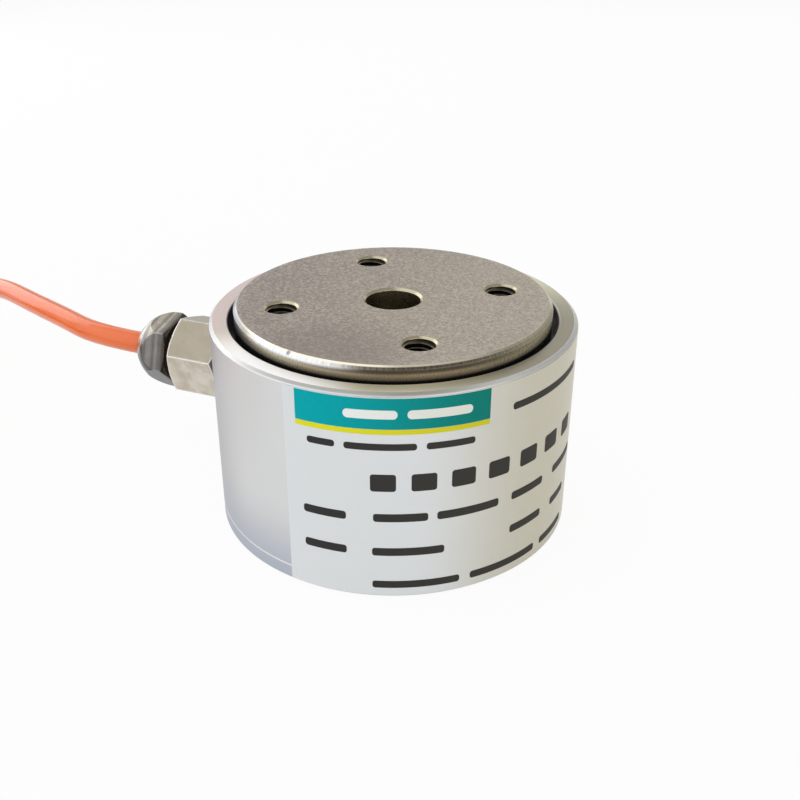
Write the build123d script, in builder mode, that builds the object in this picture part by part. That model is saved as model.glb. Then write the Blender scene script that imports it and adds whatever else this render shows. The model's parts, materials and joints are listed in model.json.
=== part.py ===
from build123d import *
import os
from math import cos, degrees, radians, sin, sqrt, tan

# Capsule load cell: a closed round can with a loading platform in its open top, a double-bending
# measuring body inside, a thin diaphragm that seals the gap, and a lead that leaves by a gland.
# Millimetres, +Z up, the origin at the middle of the base's underside, the gland along -X.
os.makedirs("parts", exist_ok=True)

# Can
body_r = 30.0
rim_wall = 3.0
rim_outer_edge = 0.5
rim_inner_edge = 0.2
cavity_wall = 4.0
shelf_w = 1.8
shelf_t = 1.0
foot_wall = 6.0
foot_h = 5.0

# Base plate
base_t = 3.0
base_edge = 0.5
spigot_h = 3.5
spigot_clearance = 0.05
pad_r = 7.0
pad_h = 0.5
base_ring_wire_r = 0.55
base_ring_height = 1.1
base_ring_side_gap = 0.11
base_screw_inset = 3.0
base_screw_count = 6
base_screw_start = 20.0
base_screw_r = 1.25
base_screw_head_r = 2.25
base_screw_length = 7.2
base_screw_key_af = 1.5
base_screw_key_depth = 0.9
countersink_sunk = 0.1
countersink_angle = 90.0
screw_clearance = 0.05

# Mounting threads, the same circle above and below
mount_inset = 7.65
mount_angle = 34.6
mount_thread_r = 2.5
mount_edge = 0.35
base_thread_depth = 4.6
platform_thread_depth = 5.0
drill_tip = 0.6
drill_point_r = 0.05

# Measuring body
element_gap = 2.46
element_width = 16.0
element_edge = 1.0
arm_t = 4.0
slot_h = 1.6
slot_root = 6.0
pocket_x = 7.0
pocket_w = 6.2
pocket_h = 5.1
pocket_corner_r = 1.9
pocket_slot_h = 1.6
flexure_t = 1.1
gauge_length = 2.2
gauge_width = 7.0
gauge_t = 0.25
stop_inset = 4.0
stop_r = 1.5
stop_sunk = 0.1
stop_gap = 0.2
stop_key_af = 1.5
stop_key_depth = 1.5

# Centre screws and dowels
screw_end_gap = 0.2
base_centre_screw_r = 2.5
base_head_r = 4.65
base_key_af = 3.0
base_key_depth = 1.8
platform_screw_r = 2.0
platform_head_r = 3.5
platform_head_h = 2.8
platform_key_af = 2.5
platform_key_depth = 1.6
dowel_r = 1.0
dowel_length = 3.8
top_dowel_y = 4.3
base_dowel_y = 5.2
dowel_end_gap = 0.1

# Diaphragm and what clamps it
diaphragm_t = 0.3
diaphragm_waves = 4
wave_height = 0.7
wave_hub_gap = 0.8
wave_shelf_gap = 0.4
hub_washer_t = 1.5
clamp_ring_t = 2.2
clamp_fit = 0.02
clamp_notch_w = 2.0
clamp_notch_depth = 1.0

# Loading platform
platform_gap = 1.0
platform_t = 6.6
platform_edge = 0.6
platform_under_edge = 0.4
platform_proud = 2.25
hub_r = 9.0
hub_h = 3.7
nose_r = 6.0
nose_clearance = 0.05
centre_bore_r = 4.5
centre_bore_edge = 0.4
centre_bore_over_head = 0.2
head_well_clearance = 0.1
seat_under_head = 2.8

# Gland
gland_below_shelf = 6.2
gland_spot_depth = 0.7
gland_spot_r = 6.9
gland_thread_r = 5.0
gland_thread_in = 3.7
gland_port_relief = 0.2
gland_ring_t = 2.3
gland_ring_r = 6.4
gland_ring_edge = 0.5
gland_hex_af = 13.0
gland_hex_length = 9.5
gland_hex_turn = 17.0
gland_hex_edge = 0.5
gland_bore_clearance = 0.2
gland_neck = 1.2
gland_neck_r = 5.0
gland_neck_length = 5.0
nut_af = 12.0
nut_turn = -12.0
nut_hex_length = 1.6
nut_length = 7.6
nut_face_r = 3.3
nut_edge = 0.5
nut_dome_run = 3.3
nut_dome_fall = 1.05
nut_hole_length = 1.0
nut_hole_clearance = 0.1
nut_end_gap = 0.3
nut_claw_gap = 0.4
corner_margin = 0.1
claw_r = 4.1
claw_wall = 0.85
claw_depth = 3.6
claw_length = 5.6
claw_taper = 1.5
claw_tip = 1.3
claw_tip_wall = 0.5
claw_slits = 6
claw_slit_w = 0.5
claw_slit_length = 3.6
gland_clearance = 0.03

# Label, a thin wrap that crosses the seam of the base plate
label_glue = 0.02
label_t = 0.13
label_start = -99.4
label_width = 80.0
label_low = 0.6
label_below_rim = 0.6

# Terminal board
board_length = 14.0
board_width = 7.0
board_t = 1.0
board_corner_gap = 0.9
board_post_h = 1.0
board_post_r = 1.5
board_hole_in = 1.9
board_screw_r = 0.8
board_screw_head_r = 1.35
board_screw_head_h = 0.8
board_screw_depth = 2.5
resistor_count = 3
resistor_pitch = 2.2
resistor_size = (1.2, 2.0, 0.6)
gauge_pad_inset = 1.2
gauge_pad_step = 2.4
gauge_wire_r = 0.12
gauge_wire_out = 1.2
gauge_wire_rise = 2.0

# Lead and its cores inside the can
lead_r = 2.1
lead_past_gland = 0.7
core_r = 0.5
core_circle_r = 1.2
core_count = 5
core_first_angle = 99.0
core_run_out = 0.9
core_side_step = 0.4
core_stagger = 0.2
core_fan = 1.5
core_lane_gap = 1.06
core_lane_turns = ((200.0, 1.0), (218.0, 4.0))
pad_pitch = 2.4
pad_inset = 1.2
pad_run = 2.2
pad_rise = 4.6
pad_drop = 1.8

# Lead outside, wound up for storage, and its bared end
coil_centre = (-149.6, -24.4)
coil_mean_r = 25.0
coil_columns = 3
coil_layers = 4
coil_corner_r = 1.5
coil_squeeze = 0.1
coil_run_in = 12.5
coil_in_angle = 135.0
coil_out_angle = 270.0
coil_stub = 17.0
end_sleeve_length = 7.8
end_sleeve_wall = 0.5
end_core_lengths = (24.0, 27.0, 25.0, 28.0, 23.0)
# How far along, how widely spread, and what share of the height is left there
end_core_steps = ((2.0, 1.0, 1.0), (9.0, 3.03, 0.35), (16.0, 5.5, 0.0))
end_core_spread = 6.8
tip_length = 5.0
tip_r = 0.35

# Radii and heights that follow from the seated pieces
rim_bore_r = body_r - rim_wall
cavity_r = body_r - cavity_wall
shelf_r = rim_bore_r - shelf_w
foot_r = body_r - foot_wall
spigot_r = foot_r - spigot_clearance
base_screw_circle_r = body_r - base_screw_inset
platform_r = rim_bore_r - platform_gap
mount_circle_r = platform_r - mount_inset
middle_h = pocket_h + 2 * flexure_t
element_h = middle_h + 2 * (arm_t + slot_h)
element_z = base_t + spigot_h + pad_h
element_mid_z = element_z + element_h / 2
element_top = element_z + element_h
element_corner_r = foot_r - element_gap
element_length = 2 * sqrt(element_corner_r**2 - (element_width / 2) ** 2)
diaphragm_z = element_top + hub_washer_t
shoulder_z = diaphragm_z + diaphragm_t
platform_under = shoulder_z + hub_h
platform_top = platform_under + platform_t
housing_top = platform_top - platform_proud
head_seat = element_top + seat_under_head
board_z = base_t + spigot_h + board_post_h
board_top = board_z + board_t
board_y = board_width / 2 - sqrt((foot_r - board_corner_gap) ** 2 - (board_length / 2) ** 2)
gland_z = diaphragm_z - gland_below_shelf
gland_seat = body_r - gland_spot_depth
gland_inner_end = gland_seat - gland_thread_in
hex_start = gland_seat + gland_ring_t
hex_end = hex_start + gland_hex_length
neck_end = hex_end + gland_neck_length
nut_start = hex_end + gland_neck
nut_end = nut_start + nut_length

on_floor = (Align.CENTER, Align.CENTER, Align.MIN)
hung_down = (Align.CENTER, Align.CENTER, Align.MAX)

# The share of the shorter run beside a bend that the bend may take up
bend_share = 0.45


def drilled(radius, depth, edge):
    """Cuts a blind hole down from the present location, with a countersunk mouth and a drill tip."""
    Cylinder(radius, depth, align=hung_down, mode=Mode.SUBTRACT)
    Cone(radius, radius + edge, edge, align=hung_down, mode=Mode.SUBTRACT)
    with Locations((0, 0, -depth)):
        Cone(drill_point_r, radius, radius * drill_tip, align=hung_down, mode=Mode.SUBTRACT)


def gland_plane(distance):
    """A plane across the gland's axis, facing out, this far from the can's axis."""
    return Plane(origin=(-distance, 0, gland_z), x_dir=(0, 1, 0), z_dir=(-1, 0, 0))


def round_wire(points, radius, bend_run=None):
    """A round section swept along straight runs joined by tangent arcs, as large as the runs allow.
    With bend_run given, no arc takes up more than that much of a run."""
    places = [Vector(*point) for point in points]
    bends = []
    for before, corner, after in zip(places, places[1:], places[2:]):
        turn = (corner - before).get_angle(after - corner)
        run = bend_share * min((corner - before).length, (after - corner).length)
        if bend_run is not None:
            run = min(run, bend_run)
        bends.append(run / tan(radians(turn) / 2))
    with BuildPart() as wire:
        with BuildLine() as route:
            FilletPolyline(*places, radius=bends)
        with BuildSketch(Plane(origin=places[0], z_dir=places[1] - places[0])):
            Circle(radius)
        sweep()
    return wire, bends, route.wires()[0].length


# Turned sections on this plane have the distance out from the can along X and the radius along Y.
gland_section = Plane(origin=(0, 0, gland_z), x_dir=(-1, 0, 0), z_dir=(0, 1, 0))
gland_axis = Axis((0, 0, gland_z), (-1, 0, 0))

# Housing: a turned can, open at both ends, with a shelf for the diaphragm and a port for the gland
with BuildPart() as housing:
    with BuildSketch(Plane.XZ):
        with BuildLine():
            Polyline(
                (foot_r, base_t),
                (body_r, base_t),
                (body_r, housing_top - rim_outer_edge),
                (body_r - rim_outer_edge, housing_top),
                (rim_bore_r + rim_inner_edge, housing_top),
                (rim_bore_r, housing_top - rim_inner_edge),
                (rim_bore_r, diaphragm_z),
                (shelf_r, diaphragm_z),
                (shelf_r, diaphragm_z - shelf_t),
                (cavity_r, diaphragm_z - shelf_t - (cavity_r - shelf_r)),
                (cavity_r, base_t + foot_h),
                (foot_r, base_t + foot_h),
                close=True,
            )
        make_face()
    revolve(axis=Axis.Z)
    with BuildSketch(gland_plane(gland_seat)):
        Circle(gland_spot_r)
    extrude(amount=2 * gland_spot_depth, mode=Mode.SUBTRACT)
    with BuildSketch(gland_plane(shelf_r - gland_port_relief)):
        Circle(gland_thread_r)
    extrude(amount=body_r - shelf_r + gland_port_relief, mode=Mode.SUBTRACT)
    with BuildSketch(Plane.XY.offset(base_t)):
        with PolarLocations(base_screw_circle_r, base_screw_count, start_angle=base_screw_start):
            Circle(base_screw_r)
    extrude(amount=foot_h - screw_end_gap, mode=Mode.SUBTRACT)
housing.part.label = "housing"
export_step(housing.part, "parts/housing.step")

# Base plate: closes the can from below and carries the measuring body on a raised pad
underside = Plane(origin=(0, 0, 0), x_dir=(1, 0, 0), z_dir=(0, 0, -1))
ring_groove_z = base_t + base_ring_height
ring_groove_half = base_ring_wire_r + base_ring_side_gap
ring_groove_r = foot_r - 2 * base_ring_wire_r
board_screw_x = board_length / 2 - board_hole_in
board_screw_places = [(-board_screw_x, board_y), (board_screw_x, board_y)]
with BuildPart() as base_plate:
    with BuildSketch(Plane.XZ):
        with BuildLine():
            Polyline(
                (0, 0),
                (body_r - base_edge, 0),
                (body_r, base_edge),
                (body_r, base_t),
                (spigot_r, base_t),
                (spigot_r, ring_groove_z - ring_groove_half),
                (ring_groove_r, ring_groove_z - ring_groove_half),
                (ring_groove_r, ring_groove_z + ring_groove_half),
                (spigot_r, ring_groove_z + ring_groove_half),
                (spigot_r, base_t + spigot_h),
                (pad_r, base_t + spigot_h),
                (pad_r, element_z),
                (0, element_z),
                close=True,
            )
        make_face()
    revolve(axis=Axis.Z)
    with Locations(underside):
        with PolarLocations(mount_circle_r, 4, start_angle=-mount_angle):
            drilled(mount_thread_r, base_thread_depth, mount_edge)
        with PolarLocations(base_screw_circle_r, base_screw_count, start_angle=-base_screw_start):
            CounterSinkHole(
                base_screw_r + screw_clearance,
                base_screw_head_r + countersink_sunk,
                counter_sink_angle=countersink_angle,
            )
        CounterSinkHole(
            base_centre_screw_r + screw_clearance,
            base_head_r + countersink_sunk,
            counter_sink_angle=countersink_angle,
        )
    with BuildSketch(Plane.XY.offset(element_z)):
        with Locations((0, base_dowel_y), (0, -base_dowel_y)):
            Circle(dowel_r)
    extrude(amount=-(dowel_length / 2 + dowel_end_gap), mode=Mode.SUBTRACT)
    with BuildSketch(Plane.XY.offset(base_t + spigot_h)):
        with Locations(*board_screw_places):
            Circle(board_post_r)
    extrude(amount=board_post_h)
    with BuildSketch(Plane.XY.offset(board_z)):
        with Locations(*board_screw_places):
            Circle(board_screw_r)
    extrude(amount=-(board_screw_depth + dowel_end_gap), mode=Mode.SUBTRACT)
base_plate.part.label = "base_plate"
export_step(base_plate.part, "parts/base_plate.step")

with BuildPart() as base_seal_ring:
    with BuildSketch(Plane.XZ):
        with Locations((foot_r - base_ring_wire_r, ring_groove_z)):
            Circle(base_ring_wire_r)
    revolve(axis=Axis.Z)
base_seal_ring.part.label = "base_seal_ring"
export_step(base_seal_ring.part, "parts/base_seal_ring.step")

# Countersunk socket screws that hold the base plate to the foot of the housing, heads down
with BuildPart() as base_plate_screws:
    with PolarLocations(base_screw_circle_r, base_screw_count, start_angle=base_screw_start):
        with Locations((0, 0, countersink_sunk)):
            Cylinder(base_screw_r, base_screw_length, align=on_floor)
            Cone(base_screw_head_r, base_screw_r, base_screw_head_r - base_screw_r, align=on_floor)
    with BuildSketch(Plane.XY.offset(countersink_sunk)):
        with PolarLocations(base_screw_circle_r, base_screw_count, start_angle=base_screw_start):
            RegularPolygon(base_screw_key_af / 2, 6, major_radius=False)
    extrude(amount=base_screw_key_depth, mode=Mode.SUBTRACT)
base_plate_screws.part.label = "base_plate_screws"
export_step(base_plate_screws.part, "parts/base_plate_screws.step")

# Measuring body: one block, slotted from both ends into an upper arm, a middle beam and a lower
# arm. The middle beam is thinned over two joined pockets, where the gauges sit on flat lands.
slot_length = element_length - slot_root
slot_dz = middle_h / 2 + slot_h / 2
stop_x = stop_inset - element_length / 2
pocket_round = min(pocket_corner_r, 0.45 * pocket_h, 0.45 * pocket_w)
with BuildPart() as measuring_body:
    with BuildSketch(Plane.XZ.offset(-element_width / 2)):
        with Locations((0, element_mid_z)):
            RectangleRounded(element_length, element_h, element_edge)
        with Locations((slot_root / 2, element_mid_z + slot_dz)):
            Rectangle(slot_length, slot_h, mode=Mode.SUBTRACT)
        with Locations((-slot_root / 2, element_mid_z - slot_dz)):
            Rectangle(slot_length, slot_h, mode=Mode.SUBTRACT)
        with Locations((slot_root - element_length / 2, element_mid_z + slot_dz)):
            Circle(slot_h / 2, mode=Mode.SUBTRACT)
        with Locations((element_length / 2 - slot_root, element_mid_z - slot_dz)):
            Circle(slot_h / 2, mode=Mode.SUBTRACT)
        with Locations((-pocket_x, element_mid_z), (pocket_x, element_mid_z)):
            RectangleRounded(pocket_w, pocket_h, pocket_round, mode=Mode.SUBTRACT)
        with Locations((0, element_mid_z)):
            Rectangle(2 * pocket_x, pocket_slot_h, mode=Mode.SUBTRACT)
    extrude(amount=element_width)
    with BuildSketch(Plane.XY.offset(element_top)):
        Circle(platform_screw_r)
        with Locations((0, top_dowel_y), (0, -top_dowel_y)):
            Circle(dowel_r)
    extrude(amount=-arm_t, mode=Mode.SUBTRACT)
    with BuildSketch(Plane.XY.offset(element_z)):
        Circle(base_centre_screw_r)
        with Locations((0, base_dowel_y), (0, -base_dowel_y)):
            Circle(dowel_r)
        with Locations((stop_x, 0)):
            Circle(stop_r)
    extrude(amount=arm_t, mode=Mode.SUBTRACT)
measuring_body.part.label = "measuring_body"
export_step(measuring_body.part, "parts/measuring_body.step")

# Strain gauges on the four lands of the pockets
land_z = pocket_h / 2 - gauge_t / 2
gauge_places = {
    "strain_gauge_1": (-pocket_x, land_z),
    "strain_gauge_2": (pocket_x, land_z),
    "strain_gauge_3": (-pocket_x, -land_z),
    "strain_gauge_4": (pocket_x, -land_z),
}
for gauge_name, (gauge_x, gauge_dz) in gauge_places.items():
    with BuildPart() as strain_gauge:
        with Locations((gauge_x, 0, element_mid_z + gauge_dz)):
            Box(gauge_length, gauge_width, gauge_t)
    strain_gauge.part.label = gauge_name
    export_step(strain_gauge.part, f"parts/{gauge_name}.step")

# Overload stop: a set screw in the tip of the lower arm, just short of the middle beam
stop_length = arm_t + slot_h - stop_gap - stop_sunk
with BuildPart() as overload_stop_screw:
    with BuildSketch(Plane.XY.offset(element_z + stop_sunk)):
        with Locations((stop_x, 0)):
            Circle(stop_r)
    extrude(amount=stop_length)
    with BuildSketch(Plane.XY.offset(element_z + stop_sunk)):
        with Locations((stop_x, 0)):
            RegularPolygon(stop_key_af / 2, 6, major_radius=False)
    extrude(amount=stop_key_depth, mode=Mode.SUBTRACT)
overload_stop_screw.part.label = "overload_stop_screw"
export_step(overload_stop_screw.part, "parts/overload_stop_screw.step")

# Countersunk screw from below into the lower arm
base_screw_top = element_z + arm_t - screw_end_gap
with BuildPart() as base_centre_screw:
    with BuildSketch(Plane.XZ):
        with BuildLine():
            Polyline(
                (0, countersink_sunk),
                (base_head_r, countersink_sunk),
                (base_centre_screw_r, countersink_sunk + base_head_r - base_centre_screw_r),
                (base_centre_screw_r, base_screw_top),
                (0, base_screw_top),
                close=True,
            )
        make_face()
    revolve(axis=Axis.Z)
    with BuildSketch(Plane.XY.offset(countersink_sunk)):
        RegularPolygon(base_key_af / 2, 6, major_radius=False)
    extrude(amount=base_key_depth, mode=Mode.SUBTRACT)
base_centre_screw.part.label = "base_centre_screw"
export_step(base_centre_screw.part, "parts/base_centre_screw.step")

# Dowels that keep the measuring body square to the platform above and the base below
with BuildPart() as dowel_pins:
    with Locations(
        (0, top_dowel_y, element_top),
        (0, -top_dowel_y, element_top),
        (0, base_dowel_y, element_z),
        (0, -base_dowel_y, element_z),
    ):
        Cylinder(dowel_r, dowel_length)
dowel_pins.part.label = "dowel_pins"
export_step(dowel_pins.part, "parts/dowel_pins.step")

# Diaphragm: a thin pressed disc with ring corrugations between two flat clamping bands
wave_inner_r = hub_r + wave_hub_gap
wave_outer_r = shelf_r - wave_shelf_gap
wave_pitch = (wave_outer_r - wave_inner_r) / diaphragm_waves
diaphragm_inner_r = nose_r + nose_clearance
diaphragm_outer_r = rim_bore_r - clamp_fit
with BuildPart() as diaphragm:
    with BuildSketch(Plane.XZ):
        with BuildLine():
            for level in (diaphragm_z, shoulder_z):
                Line((diaphragm_inner_r, level), (wave_inner_r, level))
                for wave in range(diaphragm_waves):
                    start = wave_inner_r + wave * wave_pitch
                    crest = wave_height if wave % 2 == 0 else -wave_height
                    ThreePointArc(
                        (start, level),
                        (start + wave_pitch / 2, level + crest),
                        (start + wave_pitch, level),
                    )
                Line((wave_outer_r, level), (diaphragm_outer_r, level))
            Line((diaphragm_inner_r, diaphragm_z), (diaphragm_inner_r, shoulder_z))
            Line((diaphragm_outer_r, diaphragm_z), (diaphragm_outer_r, shoulder_z))
        make_face()
    revolve(axis=Axis.Z)
diaphragm.part.label = "diaphragm"
export_step(diaphragm.part, "parts/diaphragm.step")

with BuildPart() as diaphragm_clamp_ring:
    with BuildSketch(Plane.XY.offset(shoulder_z)):
        Circle(diaphragm_outer_r)
        Circle(shelf_r, mode=Mode.SUBTRACT)
    extrude(amount=clamp_ring_t)
    with BuildSketch(Plane.XY.offset(shoulder_z + clamp_ring_t)):
        with PolarLocations((shelf_r + rim_bore_r) / 2, 4):
            Rectangle(2 * (rim_bore_r - shelf_r), clamp_notch_w)
    extrude(amount=-clamp_notch_depth, mode=Mode.SUBTRACT)
diaphragm_clamp_ring.part.label = "diaphragm_clamp_ring"
export_step(diaphragm_clamp_ring.part, "parts/diaphragm_clamp_ring.step")

with BuildPart() as diaphragm_hub_washer:
    with BuildSketch(Plane.XY.offset(element_top)):
        Circle(hub_r)
        Circle(diaphragm_inner_r, mode=Mode.SUBTRACT)
    extrude(amount=hub_washer_t)
diaphragm_hub_washer.part.label = "diaphragm_hub_washer"
export_step(diaphragm_hub_washer.part, "parts/diaphragm_hub_washer.step")

# Loading platform: a disc on a hub, with four mounting threads and a stepped centre bore
centre_bore_depth = platform_top - head_seat - platform_head_h - centre_bore_over_head
with BuildPart() as loading_platform:
    with BuildSketch(Plane.XZ):
        with BuildLine():
            Polyline(
                (0, element_top),
                (nose_r, element_top),
                (nose_r, shoulder_z),
                (hub_r, shoulder_z),
                (hub_r, platform_under),
                (platform_r - platform_under_edge, platform_under),
                (platform_r, platform_under + platform_under_edge),
                (platform_r, platform_top - platform_edge),
                (platform_r - platform_edge, platform_top),
                (0, platform_top),
                close=True,
            )
        make_face()
    revolve(axis=Axis.Z)
    with Locations((0, 0, platform_top)):
        CounterBoreHole(
            platform_screw_r + screw_clearance,
            platform_head_r + head_well_clearance,
            platform_top - head_seat,
        )
        Cylinder(centre_bore_r, centre_bore_depth, align=hung_down, mode=Mode.SUBTRACT)
        Cone(
            centre_bore_r,
            centre_bore_r + centre_bore_edge,
            centre_bore_edge,
            align=hung_down,
            mode=Mode.SUBTRACT,
        )
        with PolarLocations(mount_circle_r, 4, start_angle=mount_angle):
            drilled(mount_thread_r, platform_thread_depth, mount_edge)
    with BuildSketch(Plane.XY.offset(element_top)):
        with Locations((0, top_dowel_y), (0, -top_dowel_y)):
            Circle(dowel_r)
    extrude(amount=dowel_length / 2 + dowel_end_gap, mode=Mode.SUBTRACT)
loading_platform.part.label = "loading_platform"
export_step(loading_platform.part, "parts/loading_platform.step")

# Low-head socket screw at the bottom of the centre bore, into the upper arm
with BuildPart() as platform_screw:
    with BuildSketch(Plane.XY.offset(head_seat)):
        Circle(platform_head_r)
    extrude(amount=platform_head_h)
    with BuildSketch(Plane.XY.offset(head_seat)):
        Circle(platform_screw_r)
    extrude(amount=-(seat_under_head + arm_t - screw_end_gap))
    with BuildSketch(Plane.XY.offset(head_seat + platform_head_h)):
        RegularPolygon(platform_key_af / 2, 6, major_radius=False)
    extrude(amount=-platform_key_depth, mode=Mode.SUBTRACT)
platform_screw.part.label = "platform_screw"
export_step(platform_screw.part, "parts/platform_screw.step")

# Gland, from the can outwards: sealing ring, body with its hexagon, claw, rubber sleeve, cap nut
with BuildPart() as gland_seal_ring:
    with BuildSketch(gland_plane(gland_seat)):
        Circle(gland_ring_r)
        Circle(gland_thread_r, mode=Mode.SUBTRACT)
    extrude(amount=gland_ring_t)
    ring_edges = gland_seal_ring.edges().filter_by(GeomType.CIRCLE).sort_by(SortBy.RADIUS)
    fillet(ring_edges[-2:], gland_ring_edge)
gland_seal_ring.part.label = "gland_seal_ring"
export_step(gland_seal_ring.part, "parts/gland_seal_ring.step")

hex_corner_r = gland_hex_af / sqrt(3) + corner_margin
claw_start = neck_end - claw_depth
with BuildPart() as gland_body:
    with BuildSketch(gland_plane(hex_start)):
        RegularPolygon(gland_hex_af / 2, 6, major_radius=False, rotation=gland_hex_turn)
    extrude(amount=gland_hex_length)
    with BuildSketch(gland_section):
        with BuildLine():
            Polyline(
                (hex_start, 0),
                (hex_start, gland_hex_af / 2),
                (hex_start + gland_hex_edge, hex_corner_r),
                (hex_end - gland_hex_edge, hex_corner_r),
                (hex_end, gland_hex_af / 2),
                (hex_end, 0),
                close=True,
            )
        make_face()
    revolve(axis=gland_axis, mode=Mode.INTERSECT)
    with BuildSketch(gland_plane(gland_inner_end)):
        Circle(gland_thread_r)
    extrude(amount=gland_thread_in + gland_ring_t)
    with BuildSketch(gland_plane(hex_end)):
        Circle(gland_neck_r)
    extrude(amount=gland_neck_length)
    with BuildSketch(gland_plane(gland_inner_end)):
        Circle(lead_r + gland_bore_clearance)
    extrude(amount=neck_end - gland_inner_end, mode=Mode.SUBTRACT)
    with BuildSketch(gland_plane(claw_start)):
        Circle(claw_r + gland_clearance)
    extrude(amount=claw_depth, mode=Mode.SUBTRACT)
gland_body.part.label = "gland_body"
export_step(gland_body.part, "parts/gland_body.step")

claw_end = claw_start + claw_length
claw_inner_r = claw_r - claw_wall
claw_tip_r = claw_r - claw_tip
with BuildPart() as gland_claw:
    with BuildSketch(gland_section):
        with BuildLine():
            Polyline(
                (claw_start, claw_inner_r),
                (claw_start, claw_r),
                (claw_end - claw_taper, claw_r),
                (claw_end, claw_tip_r),
                (claw_end, claw_tip_r - claw_tip_wall),
                (claw_end - claw_taper, claw_inner_r),
                close=True,
            )
        make_face()
    revolve(axis=gland_axis)
    with BuildSketch(gland_plane(claw_end - claw_slit_length)):
        for slit in range(claw_slits // 2):
            with Locations((0, 0)):
                Rectangle(3 * claw_r, claw_slit_w, rotation=slit * 360 / claw_slits)
    extrude(amount=claw_slit_length, mode=Mode.SUBTRACT)
gland_claw.part.label = "gland_claw"
export_step(gland_claw.part, "parts/gland_claw.step")

with BuildPart() as gland_sleeve:
    with BuildSketch(gland_plane(claw_start)):
        Circle(claw_inner_r - gland_clearance)
        Circle(lead_r, mode=Mode.SUBTRACT)
    extrude(amount=claw_length - claw_taper)
gland_sleeve.part.label = "gland_sleeve"
export_step(gland_sleeve.part, "parts/gland_sleeve.step")

nut_corner_r = nut_af / sqrt(3)
dome_start = nut_start + nut_hex_length
nut_hole_r = lead_r + nut_hole_clearance
with BuildPart() as gland_nut:
    with BuildSketch(gland_plane(nut_start)):
        RegularPolygon(nut_af / 2, 6, major_radius=False, rotation=nut_turn)
    extrude(amount=nut_length)
    with BuildSketch(gland_section):
        with BuildLine():
            Polyline(
                (nut_end, 0),
                (nut_start, 0),
                (nut_start, nut_af / 2),
                (nut_start + nut_edge, nut_corner_r),
                (dome_start, nut_corner_r),
            )
            ThreePointArc(
                (dome_start, nut_corner_r),
                (dome_start + nut_dome_run, nut_corner_r - nut_dome_fall),
                (nut_end, nut_face_r),
            )
            Line((nut_end, nut_face_r), (nut_end, 0))
        make_face()
    revolve(axis=gland_axis, mode=Mode.INTERSECT)
    with BuildSketch(gland_section):
        with BuildLine():
            Polyline(
                (nut_start, 0),
                (nut_start, gland_neck_r + gland_clearance),
                (neck_end + nut_end_gap, gland_neck_r + gland_clearance),
                (neck_end + nut_end_gap, claw_r + nut_claw_gap),
                (nut_end - nut_hole_length, nut_hole_r),
                (nut_end, nut_hole_r),
                (nut_end, 0),
                close=True,
            )
        make_face()
    revolve(axis=gland_axis, mode=Mode.SUBTRACT)
gland_nut.part.label = "gland_nut"
export_step(gland_nut.part, "parts/gland_nut.step")

# Label
label_inner_r = body_r + label_glue
label_arc = degrees(label_width / body_r)
with BuildPart() as label:
    with BuildSketch(Plane.XY.offset(label_low)):
        with BuildLine():
            CenterArc((0, 0), label_inner_r, label_start, label_arc)
            CenterArc((0, 0), label_inner_r + label_t, label_start, label_arc)
            for angle in (label_start, label_start + label_arc):
                way = Vector(cos(radians(angle)), sin(radians(angle)))
                Line(way * label_inner_r, way * (label_inner_r + label_t))
        make_face()
    extrude(amount=housing_top - label_below_rim - label_low)
label.part.label = "label"
export_step(label.part, "parts/label.step")

# Terminal board with its screws and trimming resistors
with BuildPart() as terminal_board:
    with BuildSketch(Plane.XY.offset(board_z)):
        with Locations((0, board_y)):
            Rectangle(board_length, board_width)
        with Locations(*board_screw_places):
            Circle(board_screw_r + screw_clearance, mode=Mode.SUBTRACT)
    extrude(amount=board_t)
terminal_board.part.label = "terminal_board"
export_step(terminal_board.part, "parts/terminal_board.step")

with BuildPart() as board_screws:
    with BuildSketch(Plane.XY.offset(board_top)):
        with Locations(*board_screw_places):
            Circle(board_screw_head_r)
    extrude(amount=board_screw_head_h)
    with BuildSketch(Plane.XY.offset(board_top)):
        with Locations(*board_screw_places):
            Circle(board_screw_r)
    extrude(amount=-(board_t + board_screw_depth))
board_screws.part.label = "board_screws"
export_step(board_screws.part, "parts/board_screws.step")

for resistor in range(resistor_count):
    resistor_x = (resistor - (resistor_count - 1) / 2) * resistor_pitch
    with BuildPart() as trim_resistor:
        with Locations((resistor_x, board_y, board_top)):
            Box(*resistor_size, align=on_floor)
    trim_resistor.part.label = f"trim_resistor_{resistor + 1}"
    export_step(trim_resistor.part, f"parts/trim_resistor_{resistor + 1}.step")

# Lead inside the gland, and its cores round the end of the measuring body to the terminal board
lead_inner_end = gland_inner_end - lead_past_gland
with BuildPart() as lead_inner_length:
    with BuildSketch(gland_plane(lead_inner_end)):
        Circle(lead_r)
    extrude(amount=nut_end - lead_inner_end)
lead_inner_length.part.label = "lead_inner_length"
export_step(lead_inner_length.part, "parts/lead_inner_length.step")

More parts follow.
